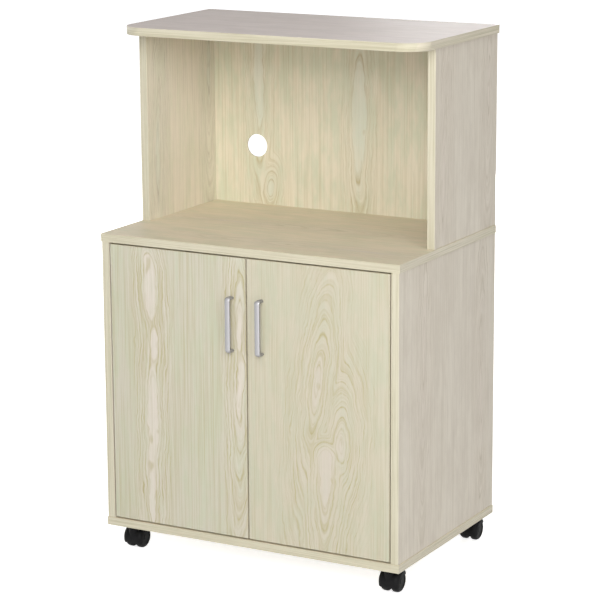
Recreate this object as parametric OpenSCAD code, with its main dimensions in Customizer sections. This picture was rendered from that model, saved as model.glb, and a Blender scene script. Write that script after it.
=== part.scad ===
// Microwave cart: a two-door cabinet on twin-wheel castors, with an open hutch on its worktop.
// Millimetres. +Z is up, +X is to the right and -Y to the front for someone facing the doors.
// The origin lies on the floor, under the middle of the whole cart with its handles.

/* [Cabinet] */
// Width of the worktop and of the bottom panel
cabinet_w = 600; // [500:5:800]
// Depth of the worktop and of the bottom panel
cabinet_d = 395; // [340:5:500]
// Height of the lower side panels
lower_side_h = 518; // [440:2:700]
// Thickness of the coated boards
board_t = 15; // [15:0.5:19]
// How far the sides stand back from the ends of the worktop
side_inset = 1.5; // [0:0.5:10]
// How far the side edges and the door faces stand back from the worktop's front edge
front_inset = 1; // [0:0.5:8]
// Depth of the shelf board
shelf_d = 330; // [240:5:345]
// Height of the shelf's underside above the bottom panel
shelf_height = 250; // [160:2:330]
// Play at each end of the shelf
shelf_play = 0.5; // [0.3:0.1:2]

/* [Hutch] */
// Height of the upper side panels, which is the height of the open bay
upper_side_h = 350; // [260:5:450]
// Depth of the upper side panels
upper_side_d = 256; // [230:2:320]
// How far the top panel stands out past each side
top_side_overhang = 3.5; // [0:0.5:20]
// How far the top panel stands out in front of the upper sides
top_front_overhang = 69; // [20:1:80]
// Radius of the top panel's front corners
top_corner_r = 48; // [10:1:60]
// Diameter of the cable hole in the back panel
cable_hole_d = 43; // [30:1:60]
// Distance of the cable hole from the middle, to the left
cable_hole_x = 192; // [80:2:210]
// Height of the cable hole's centre above the worktop
cable_hole_height = 112; // [60:2:200]

/* [Back panels] */
// Thickness of the back panels
back_t = 3; // [2.5:0.5:4]
// Play of a back panel in its groove, across its thickness
groove_play = 0.5; // [0.2:0.1:1]
// Depth of the grooves
groove_depth = 5; // [3:0.5:6]
// How far a back panel stops short of the bottom of its grooves
groove_end_play = 0.5; // [0.3:0.1:1.5]
// Distance from the rear edges to the grooves
groove_from_back = 10; // [6:1:20]

/* [Doors] */
// Gap between a door and the side panel
door_side_gap = 2.5; // [2:0.25:4]
// Gap between the two doors
door_centre_gap = 3; // [2:0.25:5]
// Gap above and below the doors
door_end_gap = 3; // [2:0.25:5]
// Distance of each hinge from the end of the door
hinge_from_end = 95; // [60:5:130]

/* [Handles] */
// Distance between the two screws of a handle
handle_spacing = 96; // [64:32:160]
// How far the handle stands out from the door
handle_out = 17; // [15:1:35]
// Width of the handle
handle_w = 9.5; // [8:0.5:16]
// Thickness of the handle
handle_t = 5; // [5:0.5:8]
// Inner radius of the handle's bends
handle_bend_r = 1.5; // [1:0.5:5]
// Distance of the handle's centre line from the middle of the cart
handle_x = 30; // [20:1:60]
// Distance of the handle's middle from the top of the door
handle_drop = 120; // [80:2:200]
// Diameter of the handle screws
handle_screw_d = 3.9; // [3:0.1:5]

/* [Hinges] */
// Radius of the hinge cup
cup_r = 17.5; // [17:0.5:18]
// Thickness of the door's front that is left behind the cup
cup_skin = 3.5; // [2.5:0.5:4]
// Distance from the door's edge to the cup
cup_tab = 4; // [3:0.5:6]
// Thickness of the cup's wall, floor and flange
cup_wall = 1; // [0.8:0.1:1.1]
// Diameter of the hinge pin
hinge_pin_d = 3; // [2:0.1:3.2]
// Distance of the hinge pin from the door's face
hinge_pin_depth = 7.5; // [7.3:0.1:7.8]
// Running clearance of the pin in the hinge arm
hinge_pin_play = 0.05; // [0.02:0.01:0.1]
// Smallest gap between the turning door edge and the side panel
swing_gap = 0.5; // [0.3:0.1:0.8]
// Gap between the turning door edge and the bow of the arm
bow_gap = 0.6; // [0.4:0.1:1.5]
// Thickness of the hinge arm
arm_t = 3; // [2.5:0.1:3.4]
// Width of the hinge arm
arm_w = 12; // [10:0.5:14]
// Height of the mounting plate's ridge over the side panel
plate_ridge_h = 8; // [6:0.5:9]
// Distance of the mounting plate's screws from the front edge of the side
plate_setback = 52; // [48:1:60]
// Distance between the mounting plate's screws
plate_spacing = 32; // [28:1:40]

/* [Castors] */
// Height of a castor, from the floor to the bottom panel
castor_h = 51; // [50:0.5:60]
// Diameter of the wheels
wheel_d = 40; // [36:1:40]
// Width of one wheel
wheel_w = 13.5; // [11:0.5:16]
// Radius of a wheel's outer shoulder
wheel_shoulder_r = 6; // [3:0.5:6.5]
// Radius of a wheel's inner shoulder
wheel_inner_r = 3.5; // [1:0.5:4]
// Distance from the wheel axle back to the swivel axis
castor_trail = 12; // [9:0.5:13]
// Thickness of the web between the two wheels
web_t = 7; // [6:0.5:9]
// Gap between a wheel and the hood around it
wheel_gap = 1; // [0.6:0.1:1.5]
// Wall thickness of the hood
hood_wall = 1.8; // [1.4:0.1:2.5]
// Diameter of the axle
axle_d = 5; // [4:0.5:6]
// Diameter of the swivel stem
stem_d = 8; // [7:0.5:9]
// Running clearance of the castor's pins in their bores
castor_play = 0.05; // [0.02:0.01:0.1]
// Side of the square mounting plate
castor_plate_w = 40; // [38:1:46]
// Thickness of the mounting plate
castor_plate_t = 2; // [1.5:0.5:2.5]
// Distance of the swivel axes from the ends of the bottom panel
castor_from_end = 35; // [30:1:60]
// Distance of the front swivel axes from the front edge
castor_from_front = 36; // [30:1:60]
// Distance of the rear swivel axes from the rear edge
castor_from_back = 31; // [30:1:60]

/* [Fasteners] */
// Diameter of the cam nuts
cam_d = 15; // [12:0.5:15]
// Depth of a cam nut in the board
cam_depth = 12.5; // [11:0.5:13]
// Distance from a board's end to the cam nuts
cam_reach = 34; // [24:1:40]
// Diameter of the bolts that the cam nuts pull
cam_bolt_d = 6; // [5:0.5:7]
// Diameter of the dowels
dowel_d = 8; // [6:1:8]
// Depth of a dowel in the face of a board
dowel_in_face = 9; // [7:1:10]
// Depth of a dowel in the end of a board
dowel_in_end = 20; // [15:1:25]
// Diameter of the screws that hold the bottom panel
bottom_screw_d = 5; // [4:0.5:6]
// Length of the screws that hold the bottom panel
bottom_screw_l = 50; // [40:5:60]
// Diameter of the small wood screws
wood_screw_d = 3.5; // [3:0.1:3.8]
// Length of the small wood screws
wood_screw_l = 12; // [10:0.5:13]
// Diameter of the stuck-on covers over the cam nuts in the open bay
cam_cover_d = 19; // [17:0.5:22]
// Thickness of the stuck-on covers
cam_cover_t = 0.4; // [0.3:0.1:1]
// Clearance of fasteners in their holes
hole_play = 0.1; // [0.05:0.05:0.3]
// Diameter of the shelf pins
shelf_pin_d = 5; // [4:0.5:6]

/* [Door catch] */
// Width of the double magnetic catch
catch_w = 64; // [60:2:80]
// Height of the catch
catch_h = 13; // [10:1:16]
// Depth of the catch
catch_d = 15; // [12:1:22]
// Gap between the magnets and the strike plates
catch_gap = 0.3; // [0.2:0.1:1]

/* [Hidden] */
$fn = 48;

LAMINATE = [0.83, 0.80, 0.70];
HARDBOARD = [0.80, 0.76, 0.66];
BEECH = [0.80, 0.66, 0.45];
ZINC = [0.72, 0.73, 0.74];
SATIN_NICKEL = [0.73, 0.72, 0.71];
STEEL = [0.62, 0.63, 0.65];
BLACK_PLASTIC = [0.13, 0.13, 0.14];
BLACK_METAL = [0.10, 0.10, 0.11];
BROWN_PLASTIC = [0.35, 0.27, 0.20];
MAGNET = [0.25, 0.25, 0.26];

eps = 0.01;
turning_gap = 0.3;

// Levels, from the floor up
bottom_z = castor_h;
floor_z = bottom_z + board_t;
worktop_z = floor_z + lower_side_h;
bay_z = worktop_z + board_t;
top_z = bay_z + upper_side_h;
shelf_z = floor_z + shelf_height;

// Depths: the whole cart, handles included, is centred on the origin
handle_reach = handle_out - front_inset;
front_y = -(cabinet_d - handle_reach) / 2;
back_y = front_y + cabinet_d;
side_front_y = front_y + front_inset;
upper_front_y = back_y - upper_side_d;
top_d = upper_side_d + top_front_overhang;

// Widths
side_out_x = cabinet_w / 2 - side_inset;
side_in_x = side_out_x - board_t;
side_mid_x = side_in_x + board_t / 2;
top_w = 2 * (side_out_x + top_side_overhang);

// Back panels stand in grooves in the boards around them
groove_w = back_t + groove_play;
groove_y = back_y - groove_from_back - groove_w;
back_y0 = groove_y + groove_play / 2;
back_in_groove = groove_depth - groove_end_play;

// Doors
door_w = side_in_x - door_side_gap - door_centre_gap / 2;
door_h = lower_side_h - 2 * door_end_gap;
door_z = floor_z + door_end_gap;
door_front_y = side_front_y;
door_rear_y = door_front_y + board_t;
hinge_zs = [door_z + hinge_from_end, door_z + door_h - hinge_from_end];
handle_z = door_z + door_h - handle_drop;
handle_hole_d = handle_screw_d + 2 * hole_play;
handle_head_d = 2 * handle_screw_d;
handle_head_h = 2.2;
handle_screw_grip = 9;

// Hinges: u runs from the side panel's inner face towards the middle of the cart,
// v runs back from the door's face. The pin lies so that the door's front corner, which
// swings back past the side panel, keeps the swing gap.
pin_u = (pow(hinge_pin_depth, 2) + pow(door_side_gap, 2) - pow(swing_gap, 2))
    / (2 * (door_side_gap - swing_gap));
cup_u = door_side_gap + cup_tab + cup_r;
cup_bore_r = cup_r + hole_play;
edge_swing_r = norm([pin_u - door_side_gap, max(hinge_pin_depth, board_t - hinge_pin_depth)]);
bow_in_r = edge_swing_r + bow_gap;
bow_mid_r = bow_in_r + arm_t / 2;
bow_start = 8;
bow_end = 100;
eye_r = hinge_pin_depth - cup_skin - hole_play - cup_wall - turning_gap;
eye_half_l = sqrt(pow(cup_r - cup_wall, 2) - pow(cup_u - pin_u + eye_r, 2)) - turning_gap;
cup_screw_u = cup_u + 6;
cup_screw_z = 24;
arm_seat_v = plate_setback - 14;
arm_end_v = plate_setback + 22;
arm_flange_t = 1;
arm_flange_h = 3.5;
ridge_half_w = arm_w / 2 - arm_flange_t - 0.3;
ridge_front = 16;
ridge_rear = 24;
ridge_v = [plate_setback - ridge_front, plate_setback + ridge_rear];
ridge_foot = 3;
arm_screw_v = plate_setback + 12;
arm_screw_d = 4;
arm_screw_l = 6;
plate_base_t = 2;
plate_wing_w = 14;

// Castors
wheel_r = wheel_d / 2;
hood_in_r = wheel_r + wheel_gap;
hood_out_r = hood_in_r + hood_wall;
wheel_in_x = web_t / 2 + wheel_gap / 2;
wheel_out_x = wheel_in_x + wheel_w;
shoulder_x = wheel_out_x - wheel_shoulder_r;
shoulder_r = wheel_r - wheel_shoulder_r;
hood_half_w = shoulder_x + wheel_shoulder_r + wheel_gap + hood_wall;
axle_half_l = wheel_out_x - 1.5;
hub_r = axle_d / 2 + 3.2;
castor_plate_z = castor_h - castor_plate_t;
washer_t = 0.5;
hood_top_z = castor_plate_z - washer_t - 0.1;
turret_inset = 0.5;
turret_r = hood_out_r - castor_trail - turret_inset;
stem_bottom_z = wheel_r + sqrt(pow(hood_in_r, 2) - pow(castor_trail - stem_d / 2, 2)) + 1.2;
stem_collar_d = stem_d + 1.2;
stem_collar_h = 1.4;
hood_hem_z = wheel_r / 2;
hood_rear_z = wheel_r * 1.8;
hood_rear_y = wheel_r * 0.8;
castor_screw_at = castor_plate_w / 2 - 4.5;
castor_x = cabinet_w / 2 - castor_from_end;
castor_front_y = front_y + castor_from_front;
castor_rear_y = back_y - castor_from_back;

// Fasteners, placed by their distance from the rear edges
through_from_edge = 50;
top_dowel_from_edge = 88;
upper_dowel_from_edge = 78;
front_cam_from_front = 46;
rear_dowel_from_edge = 120;
front_dowel_from_front = 95;
bottom_screw_from_edge = 60;
through_from_back = [through_from_edge, upper_side_d - through_from_edge];
top_dowel_from_back = [top_dowel_from_edge, upper_side_d - top_dowel_from_edge];
upper_dowel_from_back = [upper_dowel_from_edge, upper_side_d - upper_dowel_from_edge];
front_cam_from_back = cabinet_d - front_cam_from_front;
lower_dowel_from_back = [rear_dowel_from_edge, cabinet_d - front_dowel_from_front];
bottom_screw_from_back = [bottom_screw_from_edge, cabinet_d / 2,
    cabinet_d - bottom_screw_from_edge];
cam_hole_d = cam_d + 2 * hole_play;
cam_hole_depth = cam_depth + hole_play;
cam_bolt_hole_d = cam_bolt_d + 8 * hole_play;
cam_head_d = cam_bolt_d + 0.6;
cam_neck_d = cam_bolt_d - 1.5;
cam_bolt_in_face = 11;
dowel_hole_d = dowel_d + 2 * hole_play;
dowel_end_play = 1;
bottom_head_d = 2 * bottom_screw_d;
bottom_head_h = 3;
wood_head_d = 2 * wood_screw_d;
wood_head_h = 1.6;
pilot_d = wood_screw_d + 2 * hole_play;
shelf_pin_hole_d = shelf_pin_d + 2 * hole_play;
shelf_pin_depth = 8;
shelf_hole_pitch = 32;
shelf_pin_from_end = 50;

// Door catch, under the middle of the worktop
strike_t = 1.2;
strike_h = 9;
strike_w = 24;
catch_y = door_rear_y + strike_t + catch_gap;
catch_z = worktop_z - catch_h;
catch_lug_t = 3;
catch_screw_x = catch_w / 2 - 5.5;
catch_screw_y = catch_y + catch_d / 2;
magnet_w = 16;
magnet_h = 6;
magnet_x = magnet_w / 2 + 5;
strike_x = magnet_x;
strike_z = worktop_z - catch_h / 2 - door_end_gap / 2;

// ---- helpers -------------------------------------------------------------------------------

module box(lo, hi) {
    translate(lo) cube([hi[0] - lo[0], hi[1] - lo[1], hi[2] - lo[2]]);
}

module both_sides() {
    children();
    mirror([1, 0, 0]) children();
}

// A cylinder that starts at a point and runs along +X, +Y or +Z
module rod_x(at, d, l) {
    translate(at) rotate([0, 90, 0]) cylinder(d = d, h = l);
}

module rod_y(at, d, l) {
    translate(at) rotate([-90, 0, 0]) cylinder(d = d, h = l);
}

module rod_z(at, d, l) {
    translate(at) cylinder(d = d, h = l);
}

// A rounded rectangle made of true arcs, centred
module rounded_rect(w, h, r) {
    square([w - 2 * r, h], center = true);
    square([w, h - 2 * r], center = true);
    for (x = [-1, 1], y = [-1, 1])
        translate([x * (w / 2 - r), y * (h / 2 - r)]) circle(r = r);
}

// A flat bar in a plane, from one point to another
module bar_2d(a, b, t) {
    translate(a) rotate(atan2(b[1] - a[1], b[0] - a[0])) translate([0, -t / 2])
        square([norm(b - a), t]);
}

// Turns a shape drawn as (y, z) and extruded in depth into one that lies along X, centred
module along_x(w) {
    rotate([90, 0, 90]) translate([0, 0, -w / 2]) linear_extrude(w) children();
}

// ---- boards --------------------------------------------------------------------------------

// Cam nut pocket and bolt hole in a side panel's end; dir is 1 where the end is its lower one
module cam_holes(from_back, end_z, dir) {
    y = back_y - from_back;
    both_sides() {
        rod_x([side_in_x - eps, y, end_z + dir * cam_reach], cam_hole_d, cam_hole_depth + eps);
        rod_z([side_mid_x, y, min(end_z - dir * eps, end_z + dir * cam_reach)], cam_bolt_hole_d,
            cam_reach + eps);
    }
}

module dowel_holes(from_back, end_z, dir) {
    deep = dowel_in_end + dowel_end_play;
    both_sides() for (b = from_back)
        rod_z([side_mid_x, back_y - b, min(end_z - dir * eps, end_z + dir * deep)], dowel_hole_d,
            deep + eps);
}

// Dowel sockets in the face of a board; dir is 1 where the board lies above the face
module dowel_sockets(from_back, face_z, dir) {
    deep = dowel_in_face + dowel_end_play;
    both_sides() for (b = from_back)
        rod_z([side_mid_x, back_y - b, min(face_z - dir * eps, face_z + dir * deep)], dowel_hole_d,
            deep + eps);
}

module cam_bolt_sockets(from_back, face_z) {
    both_sides() for (b = from_back)
        rod_z([side_mid_x, back_y - b, face_z - eps], cam_bolt_d + 2 * hole_play,
            cam_bolt_in_face + hole_play);
}

// Groove across the width, cut upwards or downwards into a face
module cross_groove(face_z, dir) {
    z = min(face_z - dir * eps, face_z + dir * groove_depth);
    reach = side_in_x + groove_depth;
    box([-reach, groove_y, z], [reach, groove_y + groove_w, z + groove_depth + eps]);
}

module side_groove(z0, z1) {
    box([side_in_x - eps, groove_y, z0], [side_in_x + groove_depth, groove_y + groove_w, z1]);
}

module top_panel() {
    color(LAMINATE) difference() {
        translate([0, 0, top_z]) linear_extrude(board_t) difference() {
            translate([-top_w / 2, back_y - top_d]) square([top_w, top_d]);
            for (s = [-1, 1]) translate([s * top_w / 2, back_y - top_d])
                scale([s, 1]) corner_cut(top_corner_r);
        }
        cross_groove(top_z, 1);
        cam_bolt_sockets(through_from_back, top_z);
        dowel_sockets(top_dowel_from_back, top_z, 1);
    }
}

// What a front corner loses when it is rounded; the corner is at the origin, the board at -X
module corner_cut(r) {
    difference() {
        translate([-r, -1]) square([r + 1, r + 1]);
        translate([-r, r]) circle(r = r, $fn = 96);
    }
}

module upper_right_side_board() {
    difference() {
        box([side_in_x, upper_front_y, bay_z], [side_out_x, back_y, top_z]);
        side_groove(bay_z - eps, top_z + eps);
        for (b = through_from_back) {
            cam_holes(b, bay_z, 1);
            cam_holes(b, top_z, -1);
        }
        dowel_holes(upper_dowel_from_back, bay_z, 1);
        dowel_holes(top_dowel_from_back, top_z, -1);
    }
}

module upper_right_side() {
    color(LAMINATE) upper_right_side_board();
}

module upper_left_side() {
    color(LAMINATE) mirror([1, 0, 0]) upper_right_side_board();
}

module upper_back_panel() {
    half_w = side_in_x + back_in_groove;
    color(HARDBOARD) difference() {
        box([-half_w, back_y0, bay_z], [half_w, back_y0 + back_t, top_z + back_in_groove]);
        rod_y([-cable_hole_x, back_y0 - 1, bay_z + cable_hole_height], cable_hole_d, back_t + 2);
    }
}

module worktop() {
    color(LAMINATE) difference() {
        box([-cabinet_w / 2, front_y, worktop_z], [cabinet_w / 2, back_y, bay_z]);
        cross_groove(worktop_z, 1);
        both_sides() for (b = through_from_back)
            rod_z([side_mid_x, back_y - b, worktop_z - 1], cam_bolt_hole_d, board_t + 2);
        cam_bolt_sockets([front_cam_from_back], worktop_z);
        dowel_sockets(lower_dowel_from_back, worktop_z, 1);
        dowel_sockets(upper_dowel_from_back, bay_z, -1);
        for (s = [-1, 1])
            rod_z([s * catch_screw_x, catch_screw_y, worktop_z - eps], pilot_d, wood_screw_l - 4);
    }
}

module lower_right_side_board() {
    difference() {
        box([side_in_x, side_front_y, floor_z], [side_out_x, back_y, worktop_z]);
        side_groove(floor_z - eps, worktop_z + eps);
        for (b = through_from_back) cam_holes(b, worktop_z, -1);
        cam_holes(front_cam_from_back, worktop_z, -1);
        dowel_holes(lower_dowel_from_back, worktop_z, -1);
        for (b = bottom_screw_from_back)
            rod_z([side_mid_x, back_y - b, floor_z - eps], bottom_screw_d + 2 * hole_play,
                bottom_screw_l - board_t + 2);
        for (z = hinge_zs, s = [-1, 1])
            rod_x([side_in_x - eps, door_front_y + plate_setback, z + s * plate_spacing / 2],
                pilot_d, wood_screw_l - plate_base_t + 1);
        for (y = shelf_pin_ys(), row = [-1, 0, 1])
            rod_x([side_in_x - eps, y, shelf_z - shelf_pin_d / 2 + row * shelf_hole_pitch],
                shelf_pin_hole_d, shelf_pin_depth + 1);
    }
}

module lower_right_side() {
    color(LAMINATE) lower_right_side_board();
}

module lower_left_side() {
    color(LAMINATE) mirror([1, 0, 0]) lower_right_side_board();
}

module lower_back_panel() {
    half_w = side_in_x + back_in_groove;
    color(HARDBOARD)
        box([-half_w, back_y0, floor_z - back_in_groove],
            [half_w, back_y0 + back_t, worktop_z + back_in_groove]);
}

module bottom_panel() {
    color(LAMINATE) difference() {
        box([-cabinet_w / 2, front_y, bottom_z], [cabinet_w / 2, back_y, floor_z]);
        cross_groove(floor_z, -1);
        both_sides() for (b = bottom_screw_from_back) translate([side_mid_x, back_y - b, bottom_z]) {
            rod_z([0, 0, -1], bottom_screw_d + 4 * hole_play, board_t + 2);
            rod_z([0, 0, -eps], bottom_head_d + 4 * hole_play, bottom_head_h + eps);
        }
        at_castors() for (x = [-1, 1], y = [-1, 1])
            rod_z([x * castor_screw_at, y * castor_screw_at, bottom_z - eps], pilot_d,
                wood_screw_l - castor_plate_t + 1);
    }
}

// The shelf lies just in front of the back panel
function shelf_back_y() = back_y0 - 1;
function shelf_pin_ys() = [shelf_back_y() - shelf_pin_from_end,
    shelf_back_y() - shelf_d + shelf_pin_from_end];

module shelf() {
    half_w = side_in_x - shelf_play;
    color(LAMINATE)
        box([-half_w, shelf_back_y() - shelf_d, shelf_z], [half_w, shelf_back_y(), shelf_z + board_t]);
}

// A shelf pin: a shank in the side panel, a collar against it and a flat tongue under the shelf
module shelf_pins() {
    collar_t = 1.2;
    tongue_l = 12;
    color(ZINC) both_sides() for (y = shelf_pin_ys())
        translate([side_in_x, y, shelf_z - shelf_pin_d / 2]) {
            rod_x([0, 0, 0], shelf_pin_d, shelf_pin_depth);
            rod_x([-tongue_l, 0, 0], shelf_pin_d, tongue_l + eps);
            intersection() {
                rod_x([-collar_t, 0, 0], 2 * shelf_pin_d, collar_t);
                box([-collar_t, -shelf_pin_d, -shelf_pin_d], [0, shelf_pin_d, shelf_pin_d / 2]);
            }
        }
}

// ---- assembly fittings ---------------------------------------------------------------------

// The end of a bolt that a cam nut grips: shank, neck and head, which ends at the given length
module cam_bolt_end(l) {
    head_l = 3;
    neck_l = 4;
    rod_z([0, 0, 0], cam_bolt_d, l - head_l - neck_l);
    rod_z([0, 0, l - head_l - neck_l - eps], cam_neck_d, neck_l + 2 * eps);
    rod_z([0, 0, l - head_l], cam_head_d, head_l);
}

cam_head_reach = cam_reach + 3;

module cam_bolts() {
    color(STEEL) both_sides() {
        for (b = through_from_back) translate([side_mid_x, back_y - b, top_z]) {
            mirror([0, 0, 1]) cam_bolt_end(cam_head_reach);
            rod_z([0, 0, -eps], cam_bolt_d, cam_bolt_in_face + eps);
        }
        translate([side_mid_x, back_y - front_cam_from_back, worktop_z]) {
            mirror([0, 0, 1]) cam_bolt_end(cam_head_reach);
            rod_z([0, 0, -eps], cam_bolt_d, cam_bolt_in_face + eps);
        }
    }
}

// Double-ended bolts run through the worktop and pull the upper and lower sides together
module through_bolts() {
    color(STEEL) both_sides() for (b = through_from_back) translate([side_mid_x, back_y - b, 0]) {
        translate([0, 0, bay_z - eps]) cam_bolt_end(cam_head_reach + eps);
        rod_z([0, 0, worktop_z - eps], cam_bolt_d, board_t + 2 * eps);
        translate([0, 0, worktop_z + eps]) mirror([0, 0, 1]) cam_bolt_end(cam_head_reach + eps);
    }
}

// A cam nut: a short drum with a hole across it for the bolt and a cross slot for the driver.
// The drum's axis runs along +X from the side panel's face; dir is the way to the board's end.
module cam_nut(dir) {
    slot_w = 1.4;
    slot_l = 8;
    slot_d = 2;
    bolt_x = board_t / 2;
    difference() {
        rod_x([0.1, 0, 0], cam_d, cam_depth - 0.1);
        rod_z([bolt_x, 0, dir > 0 ? 0 : -cam_d], cam_head_d + 0.6, cam_d);
        rod_z([bolt_x, 0, -cam_d / 3.6], cam_head_d + 0.6, cam_d / 1.8);
        box([0, -slot_w / 2, -slot_l / 2], [slot_d, slot_w / 2, slot_l / 2]);
        box([0, -slot_l / 2, -slot_w / 2], [slot_d, slot_l / 2, slot_w / 2]);
    }
}

module cam_nuts() {
    color(ZINC) both_sides() {
        for (b = through_from_back) {
            translate([side_in_x, back_y - b, top_z - cam_reach]) cam_nut(1);
            translate([side_in_x, back_y - b, bay_z + cam_reach]) cam_nut(-1);
            translate([side_in_x, back_y - b, worktop_z - cam_reach]) cam_nut(1);
        }
        translate([side_in_x, back_y - front_cam_from_back, worktop_z - cam_reach]) cam_nut(1);
    }
}

// Thin round covers in the colour of the boards, stuck over the cam nuts of the hutch
module cam_covers() {
    color(LAMINATE) both_sides() for (b = through_from_back, z = [bay_z + cam_reach, top_z - cam_reach])
        rod_x([side_in_x - cam_cover_t, back_y - b, z], cam_cover_d, cam_cover_t);
}

module dowels() {
    l = dowel_in_end + dowel_in_face;
    color(BEECH) both_sides() {
        for (b = top_dowel_from_back)
            rod_z([side_mid_x, back_y - b, top_z - dowel_in_end], dowel_d, l);
        for (b = upper_dowel_from_back)
            rod_z([side_mid_x, back_y - b, bay_z - dowel_in_face], dowel_d, l);
        for (b = lower_dowel_from_back)
            rod_z([side_mid_x, back_y - b, worktop_z - dowel_in_end], dowel_d, l);
    }
}

// Screws through the bottom panel into the ends of the lower sides
module bottom_screws() {
    socket_r = 2;
    color(STEEL) both_sides() for (b = bottom_screw_from_back)
        translate([side_mid_x, back_y - b, bottom_z]) difference() {
            union() {
                rod_z([0, 0, 0], bottom_head_d, bottom_head_h);
                rod_z([0, 0, bottom_head_h - eps], bottom_screw_d, bottom_screw_l - bottom_head_h);
            }
            translate([0, 0, -eps]) cylinder(r = socket_r, h = bottom_head_h, $fn = 6);
        }
}

// A small wood screw whose head lies on the plane z = 0 and whose shank points along -Z
module wood_screw(l = wood_screw_l) {
    difference() {
        union() {
            rod_z([0, 0, -l], wood_screw_d, l + eps);
            rod_z([0, 0, 0], wood_head_d, wood_head_h);
        }
        for (a = [0, 90]) rotate(a)
            box([-wood_head_d / 3, -0.4, wood_head_h - 0.8], [wood_head_d / 3, 0.4, wood_head_h + 1]);
    }
}

// A countersunk screw whose head is flush with the plane z = 0, and the seat that it needs
module sunk_screw(l) {
    difference() {
        union() {
            rod_z([0, 0, -l], wood_screw_d, l);
            translate([0, 0, -wood_screw_d / 2])
                cylinder(d1 = wood_screw_d, d2 = wood_head_d, h = wood_screw_d / 2);
        }
        for (a = [0, 90]) rotate(a)
            box([-wood_head_d / 3, -0.4, -0.8], [wood_head_d / 3, 0.4, 1]);
    }
}

module sunk_seat() {
    deep = wood_screw_d / 2;
    rod_z([0, 0, -deep - 2], pilot_d, deep + 3);
    translate([0, 0, -deep]) cylinder(d1 = pilot_d, d2 = wood_head_d + 2 * hole_play, h = deep);
    rod_z([0, 0, -eps], wood_head_d + 2 * hole_play, 1);
}

// ---- hinges --------------------------------------------------------------------------------

// Places hinge parts, drawn as (u, v, height), at both hinges of the left door
module at_left_hinges() {
    for (z = hinge_zs) translate([-side_in_x, door_front_y, z]) children();
}

module at_right_hinges() {
    mirror([1, 0, 0]) at_left_hinges() children();
}

module at_all_hinges() {
    at_left_hinges() children();
    at_right_hinges() children();
}

function on_bow(angle, r) = [pin_u + r * cos(angle), hinge_pin_depth + r * sin(angle)];

// A sector of the bow around the hinge pin
module bow_sector() {
    far = 2 * bow_mid_r;
    middle = (bow_start + bow_end) / 2;
    translate([pin_u, hinge_pin_depth]) intersection() {
        difference() {
            circle(r = bow_in_r + arm_t, $fn = 96);
            circle(r = bow_in_r, $fn = 96);
        }
        polygon([[0, 0], far * [cos(bow_start), sin(bow_start)], far * [cos(middle), sin(middle)],
            far * [cos(bow_end), sin(bow_end)]]);
    }
}

// The arm turns round the door's edge in a bow, so that the edge can swing in under it
module arm_outline() {
    eye = [pin_u, hinge_pin_depth];
    heel = [plate_ridge_h + arm_t / 2, arm_seat_v];
    translate(eye) circle(r = eye_r);
    bar_2d(eye, on_bow(bow_start, bow_mid_r), arm_t);
    translate(on_bow(bow_start, bow_mid_r)) circle(r = arm_t / 2);
    bow_sector();
    translate(on_bow(bow_end, bow_mid_r)) circle(r = arm_t / 2);
    bar_2d(on_bow(bow_end, bow_mid_r), heel, arm_t);
    translate(heel) circle(r = arm_t / 2);
    bar_2d(heel, [heel[0], arm_end_v], arm_t);
}

module hinge_arm() {
    slot_w = arm_screw_d + 0.4;
    difference() {
        union() {
            translate([0, 0, -arm_w / 2]) linear_extrude(arm_w) arm_outline();
            rod_z([pin_u, hinge_pin_depth, -eye_half_l], 2 * eye_r, 2 * eye_half_l);
            for (s = [-1, 1]) translate([0, 0, s * (arm_w - arm_flange_t) / 2])
                box([plate_ridge_h - arm_flange_h, arm_seat_v, -arm_flange_t / 2],
                    [plate_ridge_h + eps, arm_end_v, arm_flange_t / 2]);
        }
        rod_z([pin_u, hinge_pin_depth, -2 * cup_r], hinge_pin_d + 2 * hinge_pin_play, 4 * cup_r);
        rod_x([plate_ridge_h - 1, arm_screw_v, 0], slot_w, arm_t + 2);
    }
}

module hinge_arms() {
    color(ZINC) at_all_hinges() hinge_arm();
}

// The screw that clamps an arm on its plate
module hinge_arm_screws() {
    head_h = 2;
    color(STEEL) at_all_hinges() translate([plate_ridge_h + arm_t, arm_screw_v, 0]) difference() {
        union() {
            rod_x([0, 0, 0], 2 * arm_screw_d, head_h);
            rod_x([-arm_t - arm_screw_l, 0, 0], arm_screw_d, arm_t + arm_screw_l + eps);
        }
        for (a = [0, 90]) rotate([a, 0, 0])
            box([head_h - 1, -0.5, -arm_screw_d / 1.6], [head_h + 1, 0.5, arm_screw_d / 1.6]);
    }
}

// A mounting plate: a cross of two wings with a ridge along it
module hinge_plate() {
    difference() {
        union() {
            rotate([0, -90, 0]) mirror([0, 0, 1]) linear_extrude(plate_base_t)
                translate([0, plate_setback]) {
                    rounded_rect(plate_spacing + plate_wing_w, plate_wing_w, plate_wing_w / 2 - 0.5);
                    translate([0, (ridge_rear - ridge_front) / 2])
                        rounded_rect(2 * (ridge_half_w + ridge_foot), ridge_v[1] - ridge_v[0],
                            ridge_foot);
                }
            box([0, ridge_v[0], -ridge_half_w], [plate_ridge_h, ridge_v[1], ridge_half_w]);
        }
        for (s = [-1, 1])
            rod_x([-1, plate_setback, s * plate_spacing / 2], pilot_d, plate_base_t + 2);
        rod_x([plate_ridge_h - arm_screw_l - 0.5, arm_screw_v, 0], arm_screw_d + 2 * hole_play,
            arm_screw_l + 1);
    }
}

module hinge_plates() {
    color(ZINC) at_all_hinges() hinge_plate();
}

module hinge_plate_screws() {
    color(STEEL) at_all_hinges() for (s = [-1, 1])
        translate([plate_base_t, plate_setback, s * plate_spacing / 2]) rotate([0, 90, 0])
            wood_screw();
}

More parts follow.
